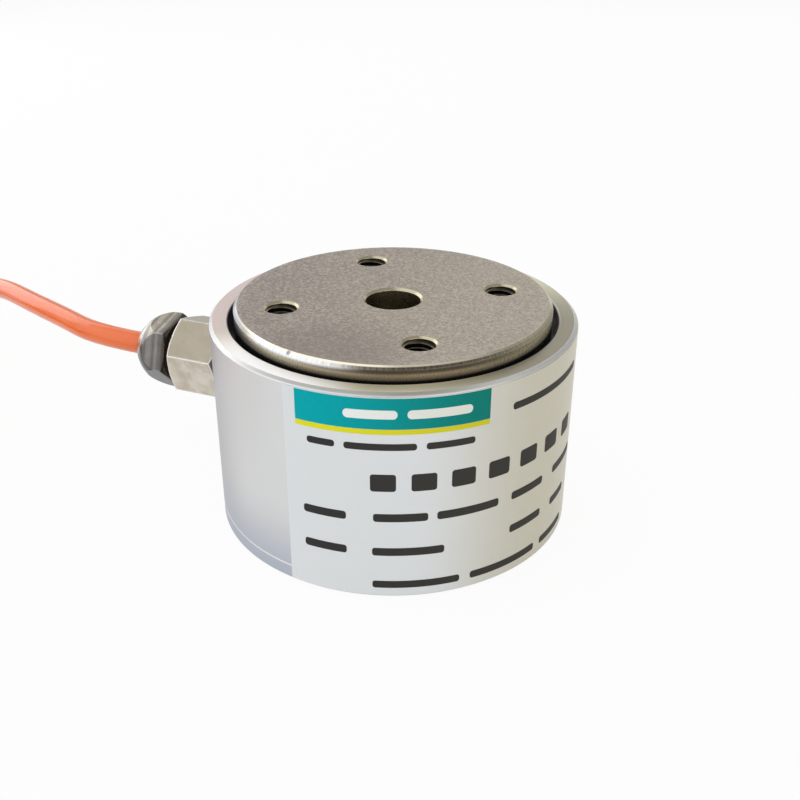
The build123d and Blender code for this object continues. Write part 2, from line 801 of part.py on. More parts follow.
lane_r = element_corner_r + core_lane_gap
pad_y = board_y - board_width / 2 + pad_inset
core_angles = [radians(core_first_angle + core * 360 / core_count) for core in range(core_count)]
for core, angle in enumerate(sorted(core_angles, key=sin)):
    dy = core_circle_r * cos(angle)
    dz = core_circle_r * sin(angle)
    rank = core - (core_count - 1) / 2
    lift = rank * core_fan
    pad_x = rank * pad_pitch
    inner_core_route = [
        (-lead_inner_end, dy, gland_z + dz),
        (core_run_out - lead_inner_end, dy, gland_z + dz),
        (core_stagger * rank - lane_r, dy - core_side_step, gland_z + lift),
    ]
    for turn, drop in core_lane_turns:
        inner_core_route.append(
            (lane_r * cos(radians(turn)), lane_r * sin(radians(turn)), gland_z + lift - drop)
        )
    inner_core_route += [
        (pad_x - pad_run, pad_y, board_top + lift + pad_rise),
        (pad_x, pad_y, board_top + pad_drop),
        (pad_x, pad_y, board_top),
    ]
    inner_core, _, _ = round_wire(inner_core_route, core_r)
    inner_core.part.label = f"inner_core_{core + 1}"
    export_step(inner_core.part, f"parts/inner_core_{core + 1}.step")

# Fine wires from the gauges, out of the pockets and down to the near edge of the board
gauge_pad_y = board_y + board_width / 2 - gauge_pad_inset
gauge_pad_x = board_length / 2 - gauge_pad_inset
for number, (gauge_x, gauge_dz) in enumerate(gauge_places.values(), start=1):
    side = 1 if gauge_x > 0 else -1
    wire_pad_x = side * (gauge_pad_x if gauge_dz > 0 else gauge_pad_x - gauge_pad_step)
    gauge_wire_route = [
        (gauge_x, -gauge_width / 2, element_mid_z + gauge_dz),
        (gauge_x, -element_width / 2 - gauge_wire_out, element_mid_z + gauge_dz),
        (wire_pad_x, gauge_pad_y, board_top + gauge_wire_rise),
        (wire_pad_x, gauge_pad_y, board_top),
    ]
    gauge_wire, _, _ = round_wire(gauge_wire_route, gauge_wire_r, gauge_wire_out - gauge_wire_r)
    gauge_wire.part.label = f"gauge_wire_{number}"
    export_step(gauge_wire.part, f"parts/gauge_wire_{number}.step")

# Lead outside: it leaves the gland level, bends back and down to the floor, and goes into a coil
coil_outer_turn = coil_mean_r + (coil_columns - 1) * lead_r
coil_height = 2 * lead_r * coil_layers


def coil_tangent(angle, height):
    """The point where the outermost turn is at this angle, and the way the turns run there."""
    outward = Vector(cos(radians(angle)), sin(radians(angle)))
    return Vector(*coil_centre, height) + outward * coil_outer_turn, Vector(-outward.Y, outward.X)


coil_in, way_in = coil_tangent(coil_in_angle, lead_r)
coil_out, way_out = coil_tangent(coil_out_angle, coil_height - lead_r)
coil_entry = coil_in - way_in * coil_stub
coil_exit = coil_out + way_out * coil_stub

lead_route = [
    (-nut_end, 0, gland_z),
    (-61.5, 0, gland_z),
    (-72.5, 4.6, 20.7),
    (-85.0, 10.0, 20.0),
    (-98.5, 16.8, 18.8),
    (-112.0, 22.4, 15.8),
    (-125.5, 25.4, 11.4),
    (-138.0, 23.6, 6.4),
    tuple(coil_entry - way_in * coil_run_in),
    tuple(coil_entry),
]
lead, lead_bends, lead_length = round_wire(lead_route, lead_r)
lead.part.label = "lead"
export_step(lead.part, "parts/lead.step")
print("lead bends", [round(bend, 1) for bend in lead_bends], "length", round(lead_length, 1))

coil_half_width = coil_columns * lead_r
with BuildPart() as lead_coil:
    with BuildSketch(Plane.XZ):
        with Locations((coil_mean_r, coil_height / 2)):
            RectangleRounded(2 * coil_half_width, coil_height - 2 * coil_squeeze, coil_corner_r)
    revolve(axis=Axis.Z)
    with BuildSketch(Plane(origin=coil_entry - Vector(*coil_centre), z_dir=way_in)):
        Circle(lead_r)
    extrude(amount=coil_stub)
    with BuildSketch(Plane(origin=coil_out - Vector(*coil_centre), z_dir=way_out)):
        Circle(lead_r)
    extrude(amount=coil_stub)
lead_coil_part = lead_coil.part.moved(Location(Vector(*coil_centre)))
lead_coil_part.label = "lead_coil"
export_step(lead_coil_part, "parts/lead_coil.step")

tail_z = lead_r + end_sleeve_wall
tail_route = [
    tuple(coil_exit),
    (-124.6, -53.6, 14.7),
    (-116.0, -53.1, 11.3),
    (-107.0, -52.0, 5.8),
    (-98.6, -51.0, tail_z),
    (-86.6, -50.2, tail_z),
]
lead_tail, tail_bends, tail_length = round_wire(tail_route, lead_r)
lead_tail.part.label = "lead_tail"
export_step(lead_tail.part, "parts/lead_tail.step")
print("tail bends", [round(bend, 1) for bend in tail_bends], "length", round(tail_length, 1))

# Shrunk sleeve over the cut end, and the bared cores that come out of it
tail_end = Vector(*tail_route[-1])
tail_way = (tail_end - Vector(*tail_route[-2])).normalized()
tail_side = Vector(-tail_way.Y, tail_way.X, 0)
with BuildPart() as lead_end_sleeve:
    with BuildSketch(Plane(origin=tail_end - tail_way * end_sleeve_length, z_dir=tail_way)):
        Circle(tail_z)
        Circle(lead_r, mode=Mode.SUBTRACT)
    extrude(amount=end_sleeve_length)
lead_end_sleeve.part.label = "lead_end_sleeve"
export_step(lead_end_sleeve.part, "parts/lead_end_sleeve.step")

core_tips = []
for core, reach in enumerate(end_core_lengths):
    turn = radians(90 + core * 360 / core_count)
    side = core_circle_r * cos(turn)
    drop = tail_z - core_r
    lift = drop + core_circle_r * sin(turn)
    end_core_route = [tail_end + tail_side * side + Vector(0, 0, lift - drop)]
    for run, spread, height in (*end_core_steps, (reach, end_core_spread, 0.0)):
        end_core_route.append(
            tail_end + tail_way * run + tail_side * side * spread + Vector(0, 0, lift * height - drop)
        )
    core_tips.append(Plane(origin=end_core_route[-1], z_dir=end_core_route[-1] - end_core_route[-2]))
    end_core, _, _ = round_wire([tuple(point) for point in end_core_route], core_r)
    end_core.part.label = f"end_core_{core + 1}"
    export_step(end_core.part, f"parts/end_core_{core + 1}.step")

with BuildPart() as tinned_tips:
    for core_tip in core_tips:
        with BuildSketch(core_tip):
            Circle(tip_r)
        extrude(amount=tip_length)
tinned_tips.part.label = "tinned_tips"
export_step(tinned_tips.part, "parts/tinned_tips.step")
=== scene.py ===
import bpy
import json
from math import ceil, cos, degrees, pi, radians, sin
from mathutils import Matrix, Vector


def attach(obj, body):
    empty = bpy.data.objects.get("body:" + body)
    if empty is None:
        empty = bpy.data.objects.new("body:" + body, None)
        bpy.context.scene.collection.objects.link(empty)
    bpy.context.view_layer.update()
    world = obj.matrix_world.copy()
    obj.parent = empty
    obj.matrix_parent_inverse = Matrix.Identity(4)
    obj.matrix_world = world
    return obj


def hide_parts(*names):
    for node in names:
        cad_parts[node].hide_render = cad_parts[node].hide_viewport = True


# Capsule load cell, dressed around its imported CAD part. Lengths in the values below are
# millimetres, as in the part's own source, and turn into Blender's metres by mm.
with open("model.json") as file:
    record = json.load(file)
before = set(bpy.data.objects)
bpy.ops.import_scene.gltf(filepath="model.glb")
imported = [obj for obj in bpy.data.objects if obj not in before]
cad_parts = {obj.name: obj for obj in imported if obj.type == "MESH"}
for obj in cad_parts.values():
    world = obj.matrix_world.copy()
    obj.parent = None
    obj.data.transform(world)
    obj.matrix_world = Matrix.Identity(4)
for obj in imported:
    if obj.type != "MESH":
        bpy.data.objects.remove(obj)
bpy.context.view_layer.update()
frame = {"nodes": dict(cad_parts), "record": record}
mm = 0.001

# Camera, as the photograph was taken
camera_place = (59.80, -144.37, 99.83)
camera_way = (-0.3390, 0.8185, -0.4639)
camera_lens = 46.05
camera_shift = (0.0085, 0.0055)

# Lead: the points that the tube follows, then its coil, then its tail
lead_r = 2.1
gland_end = (-49.9, 0.0, 20.8)
lead_points = [
    gland_end,
    (-61.5, 0.0, 20.8),
    (-72.5, 4.6, 20.7),
    (-85.0, 10.0, 20.0),
    (-98.5, 16.8, 18.8),
    (-112.0, 22.4, 15.8),
    (-125.5, 25.4, 11.4),
    (-138.0, 23.6, 6.4),
    (-149.39, 17.11, 2.1),
    (-158.23, 8.27, 2.1),
]
tail_points = [
    (-132.6, -53.6, 14.7),
    (-124.6, -53.6, 14.7),
    (-116.0, -53.1, 11.3),
    (-107.0, -52.0, 5.8),
    (-98.6, -51.0, 2.6),
    (-86.6, -50.2, 2.6),
]
coil_centre = (-149.6, -24.4)
coil_mean_r = 25.0
coil_columns = 3
coil_layers = 4
coil_in_angle = 135
coil_out_angle = 270
coil_step_angle = 15
coil_shift_start = 420
coil_shift_angle = 60
coil_rise_bulge = 1.9

# Can and platform
platform_top = 37.6
platform_r = 26.0
platform_nick_angle = -104.0
housing_top = 35.35
seam_z = 3.0

# Gland, which points along -X
hex_end = -41.1
nut_start = -42.3
nut_end = gland_end[0]

# Mounting threads
mount_holes = 4
mount_circle_r = 18.35
mount_angle = 34.6
thread_major_r = 2.5
thread_minor_r = 2.08
thread_pitch = 0.8
thread_sunk = 0.03
thread_root_half = 0.38
thread_crest_half = 0.07
thread_mouth = 0.45
platform_thread_depth = 4.9
base_thread_depth = 4.5

# Label, whose left edge is an angle in degrees from +X
label_r = 30.15
label_left = -99.4
label_top = 34.75
print_t = 0.02
print_step = 0.5
band_corner = 0.05
band_mark_corner = 0.65
bar_corner = 0.45
block_step = 6.06

# Rows of print: low edge, high edge, and the start and end of each mark from the label's left edge
band_rows = [(29.75, 34.65, [(2.1, 31.3)])]
rule_rows = [(28.9, 29.7, [(2.1, 31.3)])]
band_mark_rows = [(31.4, 32.8, [(9.6, 17.4), (18.8, 28.4)])]
bar_rows = [
    (26.3, 27.4, [(3.9, 8.2), (9.6, 20.2), (21.6, 29.0)]),
    (19.4, 22.3, [(13.4 + block_step * block, 17.2 + block_step * block) for block in range(7)]),
    (14.1, 15.5, [(2.9, 9.7), (13.8, 22.0), (23.4, 33.6), (36.2, 43.6), (47.0, 56.0)]),
    (8.0, 9.4, [(2.9, 9.7), (13.6, 24.6), (36.2, 43.6), (47.0, 53.0)]),
    (2.0, 3.3, [(13.6, 27.2), (29.0, 42.4), (44.2, 53.0)]),
    (29.9, 31.1, [(35.5, 54.5)]),
]


# Shader maths


class Signal:
    """One output of a finish's nodes. Plain arithmetic on signals adds the Math nodes for it."""

    def __init__(self, finish, socket):
        self.finish = finish
        self.socket = socket

    def maths(self, operation, *terms):
        """A Math node on these terms. The signal itself is one of them only where it is given."""
        return self.finish.node("ShaderNodeMath", {"operation": operation}, dict(enumerate(terms)))

    def __add__(self, other):
        return self.maths("ADD", self, other)

    def __radd__(self, other):
        return self.maths("ADD", other, self)

    def __sub__(self, other):
        return self.maths("SUBTRACT", self, other)

    def __rsub__(self, other):
        return self.maths("SUBTRACT", other, self)

    def __mul__(self, other):
        return self.maths("MULTIPLY", self, other)

    def __rmul__(self, other):
        return self.maths("MULTIPLY", other, self)

    def __truediv__(self, other):
        return self.maths("DIVIDE", self, other)

    def __abs__(self):
        return self.maths("ABSOLUTE", self)

    def root(self):
        return self.maths("SQRT", self)

    def between(self, low, high):
        """0 below low and 1 above high, with a soft step from one to the other."""
        return self.finish.node(
            "ShaderNodeMapRange",
            {"interpolation_type": "SMOOTHSTEP"},
            {"Value": self, "From Min": low, "From Max": high},
        )


class Nodes:
    """The node tree of a material or world, with the one method that adds a node to it."""

    def __init__(self, owner):
        owner.use_nodes = True
        self.tree = owner.node_tree

    def node(self, kind, settings=None, sockets=None, output=0):
        """Adds a node: first its settings, then the values or links of its sockets."""
        made = self.tree.nodes.new(kind)
        for name, value in (settings or {}).items():
            setattr(made, name, value)
        for name, value in (sockets or {}).items():
            self.feed(made.inputs[name], value)
        return Signal(self, made.outputs[output])

    def feed(self, socket, value):
        """Links a signal to a socket, or writes a value into it."""
        if isinstance(value, Signal):
            self.tree.links.new(value.socket, socket)
        else:
            socket.default_value = value

    def seen_by(self, *rays):
        """1 for these kinds of ray and 0 for all others."""
        seen = self.node("ShaderNodeLightPath", output=rays[0])
        for ray in rays[1:]:
            seen = seen.maths("MAXIMUM", seen, self.node("ShaderNodeLightPath", output=ray))
        return seen


class Finish(Nodes):
    """One procedural material: its nodes, its coordinates in millimetres and its Principled shader."""

    def __init__(self, name):
        self.material = bpy.data.materials.new(name)
        super().__init__(self.material)
        self.shader = self.tree.nodes["Principled BSDF"]
        place = self.node("ShaderNodeTexCoord", output="Object")
        self.place = self.vector("SCALE", place, {"Scale": 1 / mm})
        self.x, self.y, self.z = self.parts(self.place)
        self.face = self.node("ShaderNodeNewGeometry", output="Normal")
        self.facing = self.parts(self.face)

    def vector(self, operation, first, others):
        """A Vector Math node. Its other sockets are given by name or number."""
        output = "Value" if operation in ("DOT_PRODUCT", "DISTANCE") else "Vector"
        return self.node("ShaderNodeVectorMath", {"operation": operation}, {0: first, **others}, output)

    def parts(self, vector):
        """The three numbers of a vector."""
        split = self.node("ShaderNodeSeparateXYZ", sockets={0: vector}).socket.node
        return [Signal(self, socket) for socket in split.outputs]

    def mix(self, share, first, second):
        """The first colour where share is 0 and the second where it is 1."""
        colours = [c if isinstance(c, Signal) else (*c, 1) for c in (first, second)]
        return self.node(
            "ShaderNodeMix", {"data_type": "RGBA"}, {0: share, 6: colours[0], 7: colours[1]}, output=2
        )

    def noise(self, scale, detail=2.0, rough=0.5):
        """Soft noise about 0.5, with about scale cells to the millimetre."""
        return self.node(
            "ShaderNodeTexNoise",
            sockets={"Vector": self.place, "Scale": scale, "Detail": detail, "Roughness": rough},
        )

    def lines(self, along, scale, detail=2.0, rough=0.6):
        """Noise that changes only along one number, as tool marks do."""
        return self.node(
            "ShaderNodeTexNoise",
            {"noise_dimensions": "1D"},
            {"W": along, "Scale": scale, "Detail": detail, "Roughness": rough},
        )

    def radius(self):
        """Distance from the can's axis."""
        return (self.x * self.x + self.y * self.y).root()

    def turn(self):
        """Angle round the can's axis, in degrees from +X."""
        return self.node("ShaderNodeMath", {"operation": "ARCTAN2"}, {0: self.y, 1: self.x}) * degrees(1)

    def side(self, angle, wide):
        """1 on the can's side at this angle, falling to 0 at wide degrees to either side of it.

        The camera stands at about -67 degrees. The tones laid by this follow the photograph's reflections.
        """
        reach = self.x * cos(radians(angle)) + self.y * sin(radians(angle))
        return (reach / self.radius()).between(cos(radians(wide)), 1.0)

    def rounded(self, edge):
        """The surface's own direction with its edges rounded off by this many millimetres."""
        return self.node("ShaderNodeBevel", {"samples": 6}, {"Radius": edge * mm})

    def highlight_edges(self, edge):
        """1 on edges and 0 on open faces. The finishes lay a painted highlight on the edges with it."""
        alike = self.vector("DOT_PRODUCT", self.rounded(edge), {1: self.face})
        return 1 - alike.between(0.88, 0.999)

    def relief(self, height, base=None):
        """A bump of this height in millimetres."""
        sockets = {"Strength": 1.0, "Distance": mm, "Height": height}
        if base:
            sockets["Normal"] = base
        return self.node("ShaderNodeBump", sockets=sockets)

    def paint(self, colour, rough, normal=None, metal=0.0, **fixed):
        """Feeds the shader. What is in fixed is the same all over the surface."""
        fed = {"Base Color": colour, "Roughness": rough, "Metallic": metal}
        if normal:
            fed["Normal"] = normal
        for name, value in fixed.items():
            fed[name.replace("_", " ")] = value
        for name, value in fed.items():
            self.feed(self.shader.inputs[name], value)
        return self.material


# Finishes


def housing_wall(steel, cloud, upright):
    """Tone of the can's wall: pale, with painted shade that darkens its left and makes it cooler and darker
    towards its foot.
    """
    # Painted shade: the wall's left side is darker.
    wall = steel.mix(steel.side(-175, 60), (0.70, 0.71, 0.71), (0.37, 0.37, 0.39))
    # Painted shade: the wall turns darker and bluer towards its foot.
    foot = (1 - steel.z.between(-2.0, 15.0)) * upright
    wall = steel.mix(foot, wall, (0.40, 0.44, 0.52))
    return steel.mix(cloud * 0.25, wall, (0.60, 0.60, 0.59))


def housing_rim(steel, rings):
    """Tone of the raw rim: olive, with painted reflections that make it pink on its left and dark on its
    right, and a white painted highlight under the window lamp.
    """
    # Painted reflections: a pink tone for the rim's left and a dark one for its right.
    left = steel.mix(rings, (0.48, 0.385, 0.37), (0.70, 0.58, 0.555))
    right = steel.mix(rings, (0.17, 0.155, 0.11), (0.29, 0.27, 0.20))
    rim = steel.mix(rings, (0.50, 0.47, 0.33), (0.74, 0.71, 0.54))
    rim = steel.mix(steel.side(-175, 60), rim, left)
    rim = steel.mix(steel.side(-5, 62), rim, right)
    # Painted highlight where the rim faces the window lamp.
    return steel.mix(steel.side(-108, 34), rim, (0.93, 0.93, 0.94))


def housing_steel():
    """Turned steel: rings on the flat faces, hardly seen lines round the wall, a seam at its foot, painted
    shade above the label, and a painted highlight under the seam and on the edges.
    """
    steel = Finish("housing_steel")
    flat = abs(steel.facing[2]).between(0.9, 0.99)
    upright = 1 - flat
    on_rim = steel.z.between(housing_top - 0.25, housing_top - 0.05) * flat
    cloud = steel.noise(0.09, 3.0)
    rings = steel.lines(steel.radius(), 7.0, 3.0)
    rounds = steel.lines(steel.z, 5.0, 3.0)
    colour = steel.mix(on_rim, housing_wall(steel, cloud, upright), housing_rim(steel, rings))
    # Painted shade: a dark band on the wall's front just above the label.
    shade_above_label = steel.z.between(label_top + 0.1, label_top + 0.3) * upright * steel.side(-80, 50)
    colour = steel.mix(shade_above_label * 0.7, colour, (0.24, 0.23, 0.20))
    seam = upright * (1 - abs(steel.z - seam_z).between(0.03, 0.11))
    colour = steel.mix(seam * 0.75, colour, (0.10, 0.10, 0.11))
    # Painted highlight: a bright line just below the seam.
    seam_highlight = upright * (1 - abs(steel.z - seam_z + 0.25).between(0.06, 0.19))
    colour = steel.mix(seam_highlight * 0.6, colour, (0.97, 0.98, 1.0))
    edges = steel.highlight_edges(0.25)
    # Painted highlight on the edges, weaker on the can's front.
    colour = steel.mix(edges * (0.7 - 0.5 * steel.side(-62, 46)), colour, (0.90, 0.89, 0.88))
    rough = 0.40 + 0.10 * cloud - 0.14 * on_rim - 0.10 * edges
    marks = rings * flat * 0.0035 + rounds * upright * 0.0016 + steel.noise(3.0) * 0.0012
    return steel.paint(colour, rough, steel.relief(marks, steel.rounded(0.2)), metal=1 - 0.5 * on_rim)


def blasted_top(steel, grain):
    """Tone of the platform's top: a dark grain, pale mottle, painted light that makes it paler to its
    right, and painted shade on its front.
    """
    cloud = steel.noise(0.06, 3.0)
    mottle = steel.noise(1.9, 3.0, 0.7)
    # Painted light: the top turns paler towards its right.
    top = steel.mix(steel.x.between(-24.0, 20.0), (0.335, 0.30, 0.275), (0.475, 0.435, 0.365))
    top = steel.mix(cloud.between(0.3, 0.7) * 0.3, top, (0.50, 0.44, 0.37))
    top = steel.mix(grain.between(0.30, 0.70), steel.mix(0.55, top, (0.11, 0.09, 0.08)), top)
    top = steel.mix(mottle.between(0.42, 0.66) * 0.42, top, (0.66, 0.61, 0.53))
    shade = steel.side(-92, 38) * steel.radius().between(8.0, 21.0)
    return steel.mix(shade * 0.42, top, (0.20, 0.175, 0.165))


def platform_side(steel, down, outer, window):
    """Tone of the platform's turned side, with painted reflections and a painted highlight, of its bores,
    which darken with depth as painted shade, and of its gap, painted near black as shade.
    """
    inner = 1 - outer
    side = steel.mix(steel.lines(steel.z, 6.0), (0.40, 0.36, 0.24), (0.54, 0.49, 0.36))
    # Painted shade: the bores and the tapped holes darken with depth.
    bore_shade = inner * down.between(0.4, 3.5)
    tapped = inner * steel.radius().between(8.0, 10.0) * down.between(0.3, 0.9)
    side = steel.mix(bore_shade * 0.65, side, (0.13, 0.11, 0.08))
    side = steel.mix(tapped * 0.92, side, (0.035, 0.033, 0.03))
    # Painted reflections: the side is dark low on its front and bluish dark on its left.
    front = steel.mix(down.between(1.0, 1.5), (0.085, 0.07, 0.05), (0.37, 0.30, 0.20))
    side = steel.mix(outer * steel.side(-62, 48), side, front)
    side = steel.mix(outer * steel.side(-165, 55), side, (0.075, 0.08, 0.095))
    # Painted highlight on the side under the window lamp.
    side = steel.mix(window * (1 - down.between(0.6, 1.2)), side, (0.93, 0.95, 0.98))
    # Painted shade: near black in the gap below the side.
    return steel.mix(outer * down.between(2.0, 2.5), side, (0.02, 0.02, 0.022))


def platform_chamfer(steel, window):
    """Tone of the platform's chamfer: streaks round it, with painted reflections that make it dark in front
    and bluish on its left, and a painted highlight under the window lamp.
    """
    streaks = steel.lines(steel.turn(), 1.0, 3.0).between(0.25, 0.75)
    # Painted reflections: dark tones for the chamfer's front and bluish ones for its left, and a painted
    # highlight under the window lamp.
    front = steel.mix(streaks, (0.07, 0.055, 0.045), (0.16, 0.14, 0.11))
    left = steel.mix(streaks, (0.11, 0.12, 0.14), (0.24, 0.25, 0.28))
    bright = steel.mix(streaks, (0.60, 0.60, 0.62), (0.94, 0.95, 0.96))
    cut = steel.mix(streaks, (0.30, 0.27, 0.18), (0.44, 0.41, 0.30))
    cut = steel.mix(steel.side(-62, 48), cut, front)
    cut = steel.mix(steel.side(-160, 45), cut, left)
    return steel.mix(window, cut, bright)


def platform_nick(steel):
    """1 in the small nick on the platform's front edge."""
    turn = radians(platform_nick_angle)
    reach = platform_r - 0.35
    place = (reach * cos(turn), reach * sin(turn), platform_top - 0.3)
    return 1 - steel.vector("DISTANCE", steel.place, {1: place}).between(0.15, 0.55)


def platform_steel():
    """A blasted top face, bores darkened by painted shade, and a turned side and chamfer with a painted
    highlight line between.
    """
    steel = Finish("platform_steel")
    upward = steel.facing[2]
    down = platform_top - steel.z
    on_top = steel.z.between(platform_top - 0.06, platform_top - 0.02) * upward.between(0.9, 0.99)
    outer = steel.radius().between(platform_r - 1.6, platform_r - 0.9)
    slope = upward.between(0.45, 0.62) * (1 - upward.between(0.80, 0.92)) * outer
    window = steel.side(-103, 27) * outer
    grain = steel.noise(3.0, 3.0, 0.7)
    nick = platform_nick(steel)
    edges = steel.highlight_edges(0.10)
    colour = steel.mix(on_top, platform_side(steel, down, outer, window), blasted_top(steel, grain))
    colour = steel.mix(slope, colour, platform_chamfer(steel, window))
    # Painted highlight: a bright line where the chamfer meets the side, strongest at the front.
    brow_highlight = steel.radius().between(platform_r - 0.62, platform_r - 0.56) * (1 - down.between(0.2, 0.32))
    colour = steel.mix(brow_highlight * (0.2 + 0.7 * steel.side(-80, 60)), colour, (0.88, 0.80, 0.63))
    # Painted highlight on the edges.
    colour = steel.mix(edges * (0.35 - 0.15 * outer), colour, (0.92, 0.89, 0.84))
    colour = steel.mix(nick * 0.7, colour, (0.10, 0.09, 0.08))
    rough = 0.24 + 0.30 * on_top + 0.08 * grain - 0.06 * edges - 0.06 * slope
    marks = grain * on_top * 0.011 + steel.lines(steel.z, 9.0) * (1 - on_top) * 0.002
    marks = marks + steel.lines(steel.radius(), 4.0) * on_top * 0.002 - nick * 0.05
    return steel.paint(colour, rough, steel.relief(marks, steel.rounded(0.12)), metal=1 - 0.35 * outer)


def gland_plating():
    """Warm, cloudy nickel with a painted highlight on its edges. Painted reflections and painted shade make
    the nut dark, with painted highlight spots on its dome; the hex's upward faces get a darker painted
    reflection and the neck between nut and hex painted shade.
    """
    nickel = Finish("gland_plating")
    upward = nickel.facing[2]
    cloud = nickel.noise(0.35, 4.0, 0.6).between(0.32, 0.68)
    smear = nickel.noise(1.1, 3.0)
    edges = nickel.highlight_edges(0.5)
    on_nut = 1 - nickel.x.between(nut_start - 0.2, nut_start)
    low = 1 - upward.between(-0.1, 1.0)
    reflection_bands = nickel.lines(nickel.x, 0.8).between(0.40, 0.60)
    spots = nickel.noise(0.7).between(0.44, 0.58)
    dome = on_nut * (1 - nickel.x.between(nut_end + 1.0, nut_end + 2.8)) * upward.between(-0.1, 0.5)
    neck_shade = nickel.x.between(nut_start - 1.0, nut_start - 0.2)
    neck_shade = neck_shade * (1 - nickel.x.between(hex_end - 0.4, hex_end - 0.1))
    colour = nickel.mix(cloud, (0.50, 0.445, 0.36), (0.66, 0.62, 0.54))
    # Painted shade on the nut's downward faces.
    colour = nickel.mix(on_nut * low * 0.92, colour, (0.055, 0.056, 0.062))
    # Painted reflection: the hex's upward faces are darker and browner.
    colour = nickel.mix((1 - on_nut) * upward.between(0.3, 0.7) * 0.8, colour, (0.28, 0.245, 0.185))
    # Painted reflections: dark bands round the nut.
    colour = nickel.mix(on_nut * (0.30 + 0.35 * reflection_bands), colour, (0.05, 0.052, 0.06))
    # Painted highlights: pale spots on the nut's dome.
    colour = nickel.mix(dome * (0.2 + 0.8 * spots), colour, (0.92, 0.90, 0.85))
    # Painted shade in the neck between the nut and the hex.
    colour = nickel.mix(neck_shade * 0.85, colour, (0.05, 0.04, 0.03))
    # Painted highlight on the edges, weaker on the nut and left out of the neck.
    colour = nickel.mix(edges * (1 - neck_shade) * (1.0 - 0.6 * on_nut), colour, (0.98, 0.98, 0.97))
    rough = 0.25 + 0.14 * smear - 0.05 * edges - 0.10 * on_nut
    marks = nickel.noise(2.0, 3.0) * 0.003
    return nickel.paint(colour, rough, nickel.relief(marks, nickel.rounded(0.3)), metal=1.0)


def plain_steel(name, dark, light, rough):
    """Plain metal for screws, small parts and wires: cloudy, with faint lines and a painted highlight on
    its edges.
    """
    steel = Finish(name)
    cloud = steel.noise(0.3, 3.0)
    edges = steel.highlight_edges(0.15)
    # Painted highlight on the edges.
    colour = steel.mix(edges * 0.5, steel.mix(cloud, dark, light), (0.85, 0.85, 0.84))
    marks = steel.lines(steel.z, 6.0) * 0.002 + steel.noise(4.0) * 0.001
    return steel.paint(colour, rough + 0.1 * cloud, steel.relief(marks, steel.rounded(0.12)), metal=1.0)


def moulded(name, dark, light, rough, grain=0.004):
    """Rubber, plastic, film or enamel: a soft mottle and a fine grain."""
    stuff = Finish(name)
    cloud = stuff.noise(0.5, 3.0)
    colour = stuff.mix(cloud, dark, light)
    marks = stuff.noise(5.0) * grain
    return stuff.paint(colour, rough + 0.08 * (cloud - 0.5), stuff.relief(marks))


def lead_sheath():
    """Orange sheath, smooth and slightly waxy, with soft dents under a clear gloss."""
    sheath = Finish("lead_sheath")
    cloud = sheath.noise(0.12, 3.0)
    streak = sheath.noise(0.9)
    colour = sheath.mix(cloud, (0.77, 0.130, 0.020), (0.85, 0.180, 0.038))
    rough = 0.34 + 0.12 * streak
    marks = sheath.noise(0.35) * 0.03 + sheath.noise(3.0) * 0.003
    shine = {"Coat_Weight": 0.55, "Coat_Roughness": 0.08, "Specular_IOR_Level": 0.3}
    return sheath.paint(colour, rough, sheath.relief(marks), **shine)


def label_film():
    """Pale satin film, with a painted reflection that makes it cool on its left and warmer and darker on
    its right.
    """
    film = Finish("label_film")
    across = film.side(2, 64)
    cloud = film.noise(0.4, 3.0)
    # Painted reflection: cool and pale on the left, warmer and darker on the right.
    colour = film.mix(across, (0.69, 0.725, 0.745), (0.53, 0.50, 0.385))
    colour = film.mix(cloud * 0.15, colour, (0.80, 0.80, 0.78))
    marks = film.noise(0.8) * 0.004 + film.noise(6.0) * 0.0008
    return film.paint(colour, 0.36 + 0.1 * cloud, film.relief(marks), metal=0.25, Coat_Weight=0.15)


def printed(name, left, right, patchy=0.06):
    """Ink on the label, a little uneven, with painted shade that changes its tone from its left to its
    right.
    """
    ink = Finish(name)
    # Painted shade: the ink's tone changes from the label's left to its right.
    colour = ink.mix(ink.turn().between(-95, -40), left, right)
    spots = ink.noise(3.0, 4.0, 0.7).between(0.55, 0.85)
    shade = ink.mix(spots * patchy, colour, (0.70, 0.71, 0.70))
    rough = 0.42 + 0.1 * ink.noise(0.6)
    return ink.paint(shade, rough, ink.relief(ink.noise(6.0) * 0.0008), Specular_IOR_Level=0.06)


